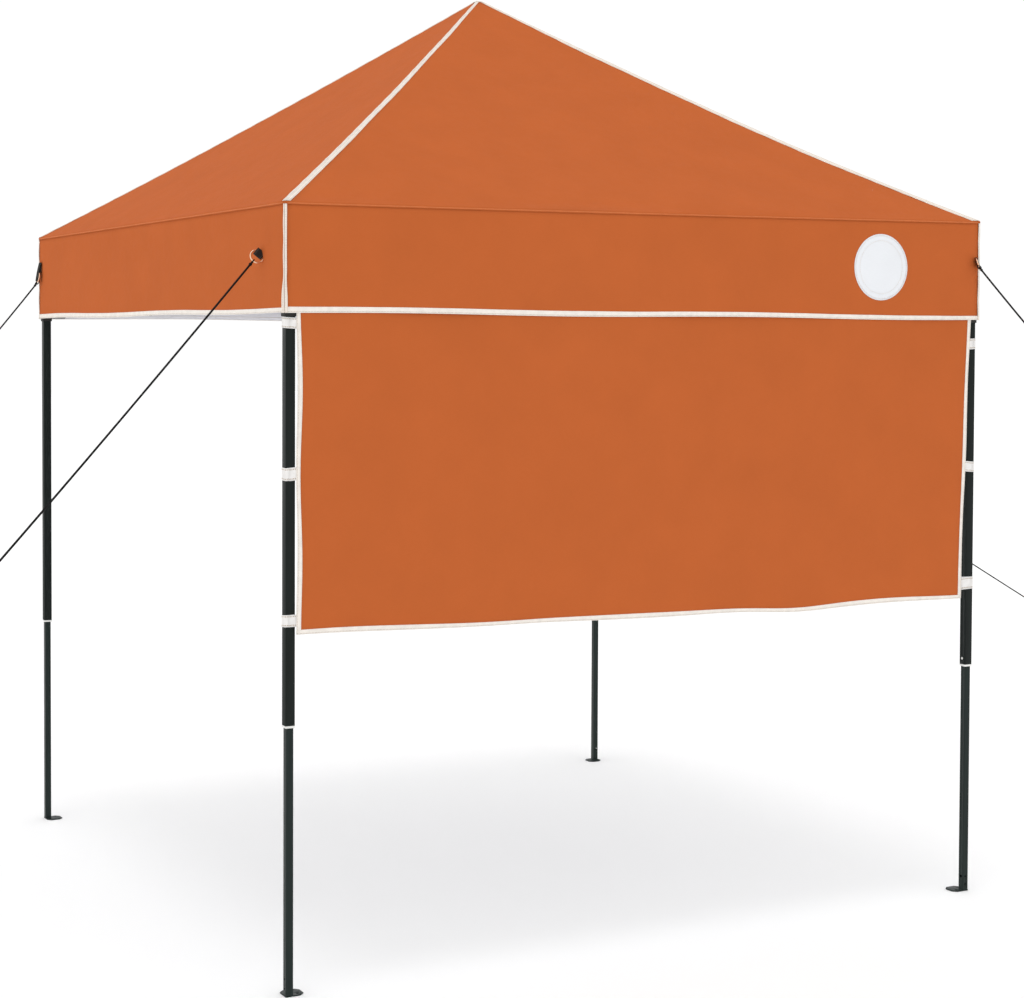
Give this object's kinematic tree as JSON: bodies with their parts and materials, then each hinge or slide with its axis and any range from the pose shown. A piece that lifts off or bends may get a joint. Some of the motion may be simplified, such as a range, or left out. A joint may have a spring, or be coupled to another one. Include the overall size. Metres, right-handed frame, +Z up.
{
  "type": "pop-up tarp shelter",
  "caption": "Square pop-up shelter with a pitched fabric top, valance, one half wall, telescoping legs, folding scissor frame and guy ropes.",
  "frame": {"origin": "on the ground, at the middle of the four feet, under the peak", "axes": "+Z up towards the peak, -Y towards the side with the half wall"},
  "size_m": [5.8639, 2.6941, 3.008],
  "materials": {
    "black_steel": "satin powder coat",
    "black_plastic": "moulded matte",
    "zinc_steel": "zinc plated",
    "orange_fabric": "coated polyester weave, silver inside",
    "black_cord": "braided cord"
  },
  "bodies": {
    "mid_front": {"mid_bracket_front": "black_plastic", "valance": "orange_fabric", "side_wall": "orange_fabric"},
    "strut_front": {"strut_front": "black_steel"},
    "roof_front": {"roof_panel_front": "orange_fabric"},
    "lower_front_left": {"lower_bar_front_left": "black_steel"},
    "upper_front_left": {"upper_bar_front_left": "black_steel"},
    "lower_front_right": {"lower_bar_front_right": "black_steel"},
    "upper_front_right": {"upper_bar_front_right": "black_steel"},
    "mid_right": {"mid_bracket_right": "black_plastic"},
    "strut_right": {"strut_right": "black_steel"},
    "roof_right": {"roof_panel_right": "orange_fabric"},
    "lower_right_left": {"lower_bar_right_left": "black_steel"},
    "upper_right_left": {"upper_bar_right_left": "black_steel"},
    "lower_right_right": {"lower_bar_right_right": "black_steel"},
    "upper_right_right": {"upper_bar_right_right": "black_steel"},
    "mid_back": {"mid_bracket_back": "black_plastic"},
    "strut_back": {"strut_back": "black_steel"},
    "roof_back": {"roof_panel_back": "orange_fabric"},
    "lower_back_left": {"lower_bar_back_left": "black_steel"},
    "upper_back_left": {"upper_bar_back_left": "black_steel"},
    "lower_back_right": {"lower_bar_back_right": "black_steel"},
    "upper_back_right": {"upper_bar_back_right": "black_steel"},
    "mid_left": {"mid_bracket_left": "black_plastic"},
    "strut_left": {"strut_left": "black_steel"},
    "roof_left": {"roof_panel_left": "orange_fabric"},
    "lower_left_left": {"lower_bar_left_left": "black_steel"},
    "upper_left_left": {"upper_bar_left_left": "black_steel"},
    "lower_left_right": {"lower_bar_left_right": "black_steel"},
    "upper_left_right": {"upper_bar_left_right": "black_steel"},
    "hub": {"hub": "black_plastic", "centre_post": "black_steel"},
    "leg_front_right": {"outer_leg_front_right": "black_steel", "top_bracket_front_right": "black_plastic", "guy_rope_front_right": "black_cord"},
    "inner_leg_front_right": {"inner_leg_front_right": "black_steel"},
    "slider_front_right": {"slider_front_right": "black_plastic"},
    "leg_button_front_right": {"leg_button_front_right": "zinc_steel"},
    "slider_button_front_right": {"slider_button_front_right": "zinc_steel"},
    "leg_back_right": {"outer_leg_back_right": "black_steel", "top_bracket_back_right": "black_plastic", "guy_rope_back_right": "black_cord"},
    "inner_leg_back_right": {"inner_leg_back_right": "black_steel"},
    "slider_back_right": {"slider_back_right": "black_plastic"},
    "leg_button_back_right": {"leg_button_back_right": "zinc_steel"},
    "slider_button_back_right": {"slider_button_back_right": "zinc_steel"},
    "leg_back_left": {"outer_leg_back_left": "black_steel", "top_bracket_back_left": "black_plastic", "guy_rope_back_left": "black_cord"},
    "inner_leg_back_left": {"inner_leg_back_left": "black_steel"},
    "slider_back_left": {"slider_back_left": "black_plastic"},
    "leg_button_back_left": {"leg_button_back_left": "zinc_steel"},
    "slider_button_back_left": {"slider_button_back_left": "zinc_steel"},
    "leg_front_left": {"outer_leg_front_left": "black_steel", "top_bracket_front_left": "black_plastic", "guy_rope_front_left": "black_cord"},
    "inner_leg_front_left": {"inner_leg_front_left": "black_steel"},
    "slider_front_left": {"slider_front_left": "black_plastic"},
    "leg_button_front_left": {"leg_button_front_left": "zinc_steel"},
    "slider_button_front_left": {"slider_button_front_left": "zinc_steel"}
  },
  "joints": [
    {"name": "fold", "type": "hinge", "parent": "mid_front", "child": "strut_front", "pos_m": [0, -1.175, 2.15], "axis": [-1, 0, 0], "range_deg": [0, 75], "deforming": ["roof_panel_front", "roof_panel_right", "roof_panel_back", "roof_panel_left", "valance", "side_wall"]},
    {"name": "hub_turn", "type": "hinge", "parent": "strut_front", "child": "hub", "pos_m": [0, -0.03, 1.905], "axis": [-1, 0, 0], "range_deg": [-75, 0]},
    {"name": "strut_right_turn", "type": "hinge", "parent": "hub", "child": "strut_right", "pos_m": [0.03, 0, 1.905], "axis": [0, -1, 0], "range_deg": [0, 75]},
    {"name": "mid_right_turn", "type": "hinge", "parent": "strut_right", "child": "mid_right", "pos_m": [1.175, 0, 2.15], "axis": [0, -1, 0], "range_deg": [-75, 0]},
    {"name": "strut_back_turn", "type": "hinge", "parent": "hub", "child": "strut_back", "pos_m": [0, 0.03, 1.905], "axis": [1, 0, 0], "range_deg": [0, 75]},
    {"name": "mid_back_turn", "type": "hinge", "parent": "strut_back", "child": "mid_back", "pos_m": [0, 1.175, 2.15], "axis": [1, 0, 0], "range_deg": [-75, 0]},
    {"name": "strut_left_turn", "type": "hinge", "parent": "hub", "child": "strut_left", "pos_m": [-0.03, 0, 1.905], "axis": [0, 1, 0], "range_deg": [0, 75]},
    {"name": "mid_left_turn", "type": "hinge", "parent": "strut_left", "child": "mid_left", "pos_m": [-1.175, 0, 2.15], "axis": [0, 1, 0], "range_deg": [-75, 0]},
    {"name": "lower_front_left_turn", "type": "hinge", "parent": "mid_front", "child": "lower_front_left", "pos_m": [0, -1.205, 2.15], "axis": [0, 1, 0], "range_deg": [-75, 0]},
    {"name": "upper_front_left_turn", "type": "hinge", "parent": "lower_front_left", "child": "upper_front_left", "pos_m": [-0.5725, -1.205, 2.0275], "axis": [0, 1, 0], "range_deg": [0, 150]},
    {"name": "lower_front_right_turn", "type": "hinge", "parent": "mid_front", "child": "lower_front_right", "pos_m": [0, -1.205, 2.15], "axis": [0, 1, 0], "range_deg": [0, 75]},
    {"name": "upper_front_right_turn", "type": "hinge", "parent": "lower_front_right", "child": "upper_front_right", "pos_m": [0.5725, -1.205, 2.0275], "axis": [0, 1, 0], "range_deg": [-150, 0]},
    {"name": "leg_front_right_turn", "type": "hinge", "parent": "upper_front_right", "child": "leg_front_right", "pos_m": [1.145, -1.205, 2.15], "axis": [0, 1, 0], "range_deg": [0, 75]},
    {"name": "slider_front_right_turn", "type": "hinge", "parent": "lower_front_right", "child": "slider_front_right", "pos_m": [1.145, -1.205, 1.905], "axis": [0, 1, 0], "range_deg": [-75, 0]},
    {"name": "lower_right_left_turn", "type": "hinge", "parent": "mid_right", "child": "lower_right_left", "pos_m": [1.205, 0, 2.15], "axis": [-1, 0, 0], "range_deg": [-75, 0]},
    {"name": "upper_right_left_turn", "type": "hinge", "parent": "lower_right_left", "child": "upper_right_left", "pos_m": [1.205, -0.5725, 2.0275], "axis": [-1, 0, 0], "range_deg": [0, 150]},
    {"name": "lower_right_right_turn", "type": "hinge", "parent": "mid_right", "child": "lower_right_right", "pos_m": [1.205, 0, 2.15], "axis": [-1, 0, 0], "range_deg": [0, 75]},
    {"name": "upper_right_right_turn", "type": "hinge", "parent": "lower_right_right", "child": "upper_right_right", "pos_m": [1.205, 0.5725, 2.0275], "axis": [-1, 0, 0], "range_deg": [-150, 0]},
    {"name": "leg_back_right_turn", "type": "hinge", "parent": "upper_right_right", "child": "leg_back_right", "pos_m": [1.205, 1.145, 2.15], "axis": [-1, 0, 0], "range_deg": [0, 75]},
    {"name": "slider_back_right_turn", "type": "hinge", "parent": "lower_right_right", "child": "slider_back_right", "pos_m": [1.205, 1.145, 1.905], "axis": [-1, 0, 0], "range_deg": [-75, 0]},
    {"name": "lower_back_left_turn", "type": "hinge", "parent": "mid_back", "child": "lower_back_left", "pos_m": [0, 1.205, 2.15], "axis": [0, -1, 0], "range_deg": [-75, 0]},
    {"name": "upper_back_left_turn", "type": "hinge", "parent": "lower_back_left", "child": "upper_back_left", "pos_m": [0.5725, 1.205, 2.0275], "axis": [0, -1, 0], "range_deg": [0, 150]},
    {"name": "lower_back_right_turn", "type": "hinge", "parent": "mid_back", "child": "lower_back_right", "pos_m": [0, 1.205, 2.15], "axis": [0, -1, 0], "range_deg": [0, 75]},
    {"name": "upper_back_right_turn", "type": "hinge", "parent": "lower_back_right", "child": "upper_back_right", "pos_m": [-0.5725, 1.205, 2.0275], "axis": [0, -1, 0], "range_deg": [-150, 0]},
    {"name": "leg_back_left_turn", "type": "hinge", "parent": "upper_back_right", "child": "leg_back_left", "pos_m": [-1.145, 1.205, 2.15], "axis": [0, -1, 0], "range_deg": [0, 75]},
    {"name": "slider_back_left_turn", "type": "hinge", "parent": "lower_back_right", "child": "slider_back_left", "pos_m": [-1.145, 1.205, 1.905], "axis": [0, -1, 0], "range_deg": [-75, 0]},
    {"name": "lower_left_left_turn", "type": "hinge", "parent": "mid_left", "child": "lower_left_left", "pos_m": [-1.205, 0, 2.15], "axis": [1, 0, 0], "range_deg": [-75, 0]},
    {"name": "upper_left_left_turn", "type": "hinge", "parent": "lower_left_left", "child": "upper_left_left", "pos_m": [-1.205, 0.5725, 2.0275], "axis": [1, 0, 0], "range_deg": [0, 150]},
    {"name": "lower_left_right_turn", "type": "hinge", "parent": "mid_left", "child": "lower_left_right", "pos_m": [-1.205, 0, 2.15], "axis": [1, 0, 0], "range_deg": [0, 75]},
    {"name": "upper_left_right_turn", "type": "hinge", "parent": "lower_left_right", "child": "upper_left_right", "pos_m": [-1.205, -0.5725, 2.0275], "axis": [1, 0, 0], "range_deg": [-150, 0]},
    {"name": "leg_front_left_turn", "type": "hinge", "parent": "upper_left_right", "child": "leg_front_left", "pos_m": [-1.205, -1.145, 2.15], "axis": [1, 0, 0], "range_deg": [0, 75]},
    {"name": "slider_front_left_turn", "type": "hinge", "parent": "lower_left_right", "child": "slider_front_left", "pos_m": [-1.205, -1.145, 1.905], "axis": [1, 0, 0], "range_deg": [-75, 0]},
    {"name": "roof_front_turn", "type": "hinge", "parent": "mid_front", "child": "roof_front", "pos_m": [0, 0.13609, 1.43725], "axis": [1, 0, 0], "range_deg": [0, 56.29]},
    {"name": "roof_right_turn", "type": "hinge", "parent": "mid_right", "child": "roof_right", "pos_m": [-0.13609, 0, 1.43725], "axis": [0, 1, 0], "range_deg": [0, 56.29]},
    {"name": "roof_back_turn", "type": "hinge", "parent": "mid_back", "child": "roof_back", "pos_m": [0, -0.13609, 1.43725], "axis": [-1, 0, 0], "range_deg": [0, 56.29]},
    {"name": "roof_left_turn", "type": "hinge", "parent": "mid_left", "child": "roof_left", "pos_m": [0.13609, 0, 1.43725], "axis": [0, -1, 0], "range_deg": [0, 56.29]},
    {"name": "inner_leg_front_right_slide", "type": "slide", "parent": "leg_front_right", "child": "inner_leg_front_right", "axis": [0, 0, 1], "range_m": [0, 0.727]},
    {"name": "leg_button_front_right_press", "type": "slide", "parent": "leg_front_right", "child": "leg_button_front_right", "axis": [1, 0, 0], "range_m": [0, 0.003], "stiffness_N_per_m": 1500},
    {"name": "slider_button_front_right_press", "type": "slide", "parent": "slider_front_right", "child": "slider_button_front_right", "axis": [1, 0, 0], "range_m": [0, 0.0024], "stiffness_N_per_m": 1500},
    {"name": "inner_leg_back_right_slide", "type": "slide", "parent": "leg_back_right", "child": "inner_leg_back_right", "axis": [0, 0, 1], "range_m": [0, 0.727]},
    {"name": "leg_button_back_right_press", "type": "slide", "parent": "leg_back_right", "child": "leg_button_back_right", "axis": [0, 1, 0], "range_m": [0, 0.003], "stiffness_N_per_m": 1500},
    {"name": "slider_button_back_right_press", "type": "slide", "parent": "slider_back_right", "child": "slider_button_back_right", "axis": [0, 1, 0], "range_m": [0, 0.0024], "stiffness_N_per_m": 1500},
    {"name": "inner_leg_back_left_slide", "type": "slide", "parent": "leg_back_left", "child": "inner_leg_back_left", "axis": [0, 0, 1], "range_m": [0, 0.727]},
    {"name": "leg_button_back_left_press", "type": "slide", "parent": "leg_back_left", "child": "leg_button_back_left", "axis": [-1, 0, 0], "range_m": [0, 0.003], "stiffness_N_per_m": 1500},
    {"name": "slider_button_back_left_press", "type": "slide", "parent": "slider_back_left", "child": "slider_button_back_left", "axis": [-1, 0, 0], "range_m": [0, 0.0024], "stiffness_N_per_m": 1500},
    {"name": "inner_leg_front_left_slide", "type": "slide", "parent": "leg_front_left", "child": "inner_leg_front_left", "axis": [0, 0, 1], "range_m": [0, 0.727]},
    {"name": "leg_button_front_left_press", "type": "slide", "parent": "leg_front_left", "child": "leg_button_front_left", "axis": [0, -1, 0], "range_m": [0, 0.003], "stiffness_N_per_m": 1500},
    {"name": "slider_button_front_left_press", "type": "slide", "parent": "slider_front_left", "child": "slider_button_front_left", "axis": [0, -1, 0], "range_m": [0, 0.0024], "stiffness_N_per_m": 1500}
  ],
  "couplings": [
    {"joint": "hub_turn", "follows": "fold", "ratio": -1},
    {"joint": "strut_right_turn", "follows": "fold", "ratio": 1},
    {"joint": "mid_right_turn", "follows": "fold", "ratio": -1},
    {"joint": "strut_back_turn", "follows": "fold", "ratio": 1},
    {"joint": "mid_back_turn", "follows": "fold", "ratio": -1},
    {"joint": "strut_left_turn", "follows": "fold", "ratio": 1},
    {"joint": "mid_left_turn", "follows": "fold", "ratio": -1},
    {"joint": "lower_front_left_turn", "follows": "fold", "ratio": -1},
    {"joint": "upper_front_left_turn", "follows": "fold", "ratio": 2},
    {"joint": "lower_front_right_turn", "follows": "fold", "ratio": 1},
    {"joint": "upper_front_right_turn", "follows": "fold", "ratio": -2},
    {"joint": "leg_front_right_turn", "follows": "fold", "ratio": 1},
    {"joint": "slider_front_right_turn", "follows": "fold", "ratio": -1},
    {"joint": "lower_right_left_turn", "follows": "fold", "ratio": -1},
    {"joint": "upper_right_left_turn", "follows": "fold", "ratio": 2},
    {"joint": "lower_right_right_turn", "follows": "fold", "ratio": 1},
    {"joint": "upper_right_right_turn", "follows": "fold", "ratio": -2},
    {"joint": "leg_back_right_turn", "follows": "fold", "ratio": 1},
    {"joint": "slider_back_right_turn", "follows": "fold", "ratio": -1},
    {"joint": "lower_back_left_turn", "follows": "fold", "ratio": -1},
    {"joint": "upper_back_left_turn", "follows": "fold", "ratio": 2},
    {"joint": "lower_back_right_turn", "follows": "fold", "ratio": 1},
    {"joint": "upper_back_right_turn", "follows": "fold", "ratio": -2},
    {"joint": "leg_back_left_turn", "follows": "fold", "ratio": 1},
    {"joint": "slider_back_left_turn", "follows": "fold", "ratio": -1},
    {"joint": "lower_left_left_turn", "follows": "fold", "ratio": -1},
    {"joint": "upper_left_left_turn", "follows": "fold", "ratio": 2},
    {"joint": "lower_left_right_turn", "follows": "fold", "ratio": 1},
    {"joint": "upper_left_right_turn", "follows": "fold", "ratio": -2},
    {"joint": "leg_front_left_turn", "follows": "fold", "ratio": 1},
    {"joint": "slider_front_left_turn", "follows": "fold", "ratio": -1},
    {"joint": "roof_front_turn", "follows": "fold", "ratio": 0.75037},
    {"joint": "roof_right_turn", "follows": "fold", "ratio": 0.75037},
    {"joint": "roof_back_turn", "follows": "fold", "ratio": 0.75037},
    {"joint": "roof_left_turn", "follows": "fold", "ratio": 0.75037}
  ]
}
